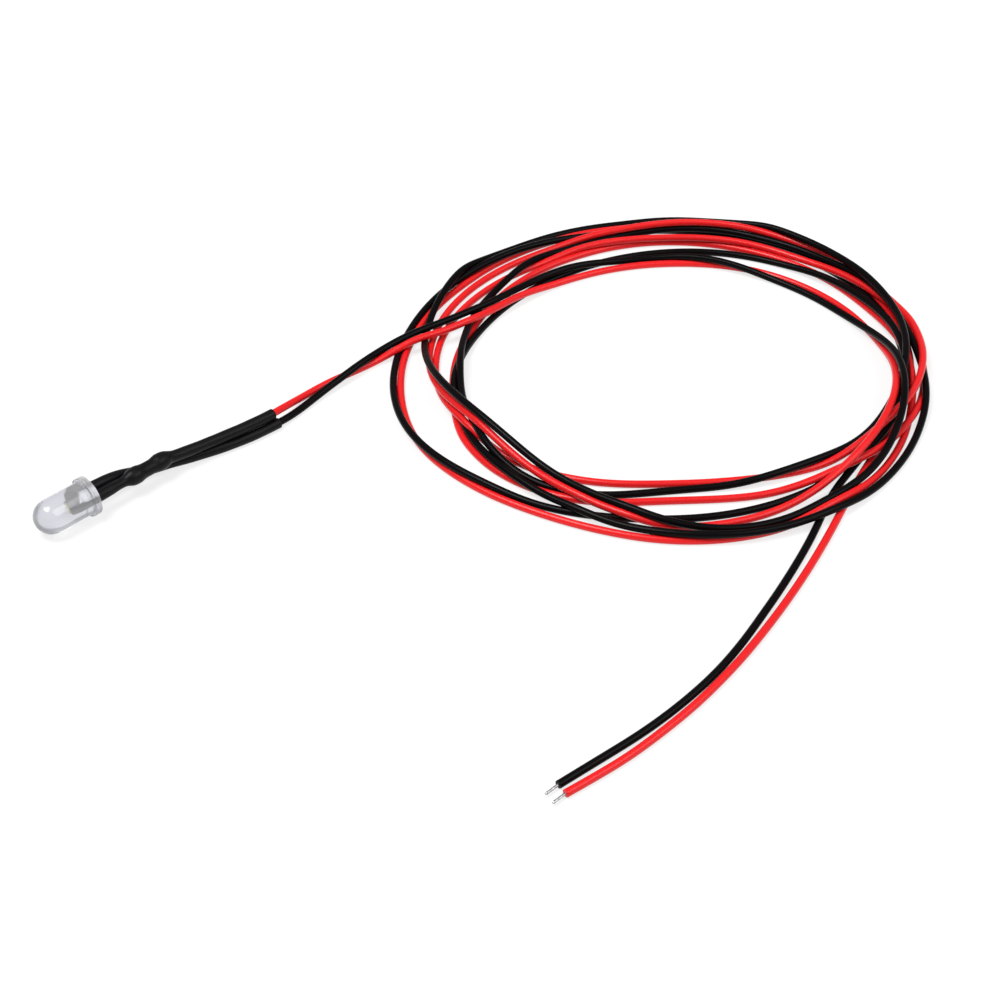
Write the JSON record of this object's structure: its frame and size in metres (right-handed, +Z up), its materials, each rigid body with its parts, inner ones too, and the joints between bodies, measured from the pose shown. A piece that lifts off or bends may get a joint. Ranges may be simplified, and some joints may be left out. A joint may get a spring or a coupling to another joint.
{
  "type": "pre-wired indicator lamp",
  "caption": "Light-emitting diode in a clear domed lens, with an in-line resistor under black shrink sleeves and a red and a black lead in a loose coil, ends tinned.",
  "frame": {"origin": "on the lamp's axis, in the plane of the flange's front face, which seats on a panel", "axes": "+X along the lamp's axis, from the dome back to the leads; +Z up from the surface that the lamp and its coil lie on; +Y towards the cathode leg"},
  "size_m": [0.13, 0.0921, 0.0058],
  "materials": {
    "lens": "water-clear epoxy, polished, faintly milky",
    "lead_frame": "silver-plated stamped steel",
    "die": "polished semiconductor",
    "phosphor": "yellow phosphor in cured resin",
    "gold_wire": "drawn gold wire, bright",
    "solder": "solder, bright and slightly grained",
    "tinned_wire": "tinned copper wire, bright",
    "resistor_cap": "pressed plated steel",
    "resistor_core": "unglazed ceramic under a thin film",
    "resistor_coating": "dipped epoxy, satin",
    "bare_copper": "bare stranded copper",
    "sleeve": "shrunk polyolefin, satin black",
    "red_insulation": "smooth glossy red PVC",
    "black_insulation": "smooth glossy black PVC",
    "tinned_strands": "twisted tinned strands, dull silver"
  },
  "bodies": {
    "root": {"lens": "lens", "cathode_frame": "lead_frame", "anode_post": "lead_frame", "led_die": "die", "phosphor_fill": "phosphor", "bond_wire": "gold_wire", "anode_solder": "solder", "resistor_front_lead": "tinned_wire", "resistor_front_cap": "resistor_cap", "resistor_core": "resistor_core", "resistor_coating": "resistor_coating", "resistor_rear_cap": "resistor_cap", "resistor_rear_lead": "tinned_wire", "red_joint_solder": "solder", "red_conductor": "bare_copper", "cathode_solder": "solder", "black_conductor": "bare_copper", "anode_sleeve": "sleeve", "cathode_sleeve": "sleeve", "red_lead_in": "red_insulation", "black_lead_in": "black_insulation", "wire_coil": "red_insulation", "red_tail": "red_insulation", "black_tail": "black_insulation", "red_tinned_end": "tinned_strands", "black_tinned_end": "tinned_strands"}
  },
  "joints": []
}
